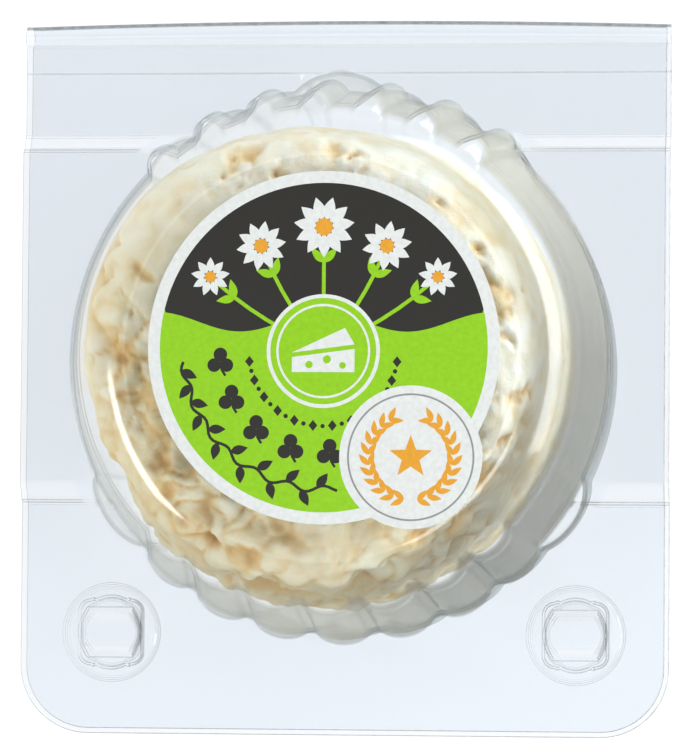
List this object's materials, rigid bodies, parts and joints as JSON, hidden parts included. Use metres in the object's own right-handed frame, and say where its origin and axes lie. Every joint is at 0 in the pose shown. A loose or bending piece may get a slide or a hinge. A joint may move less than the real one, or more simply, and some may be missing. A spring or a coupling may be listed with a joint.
{
  "type": "soft goat's cheese in a clear hinged pack",
  "caption": "Small soft chabichou cheese, a lumpy round of cream curd, shut in a clear plastic clamshell with fluted bubbles, snap studs and a die-cut label.",
  "frame": {"origin": "centre of the bounding box at the flat bottom of the back bubble, on which the pack lies", "axes": "+Z out of the labelled front face, +Y towards the hinge, +X to the right as the label is seen"},
  "size_m": [0.09, 0.099, 0.0532],
  "materials": {
    "clear_plastic": "clear thin sheet, pale blue-grey",
    "curd": "moist lumpy curd, cream to tan",
    "label_print": "satin printed film, white rim, green and charcoal fields"
  },
  "bodies": {
    "base": {"back_shell": "clear_plastic", "cheese": "curd"},
    "lid": {"front_shell": "clear_plastic", "label": "label_print"}
  },
  "joints": [
    {"name": "lid_hinge", "type": "hinge", "parent": "base", "child": "lid", "pos_m": [0, 0.0495, 0.0266], "axis": [-1, 0, 0], "range_deg": [0, 180]}
  ]
}
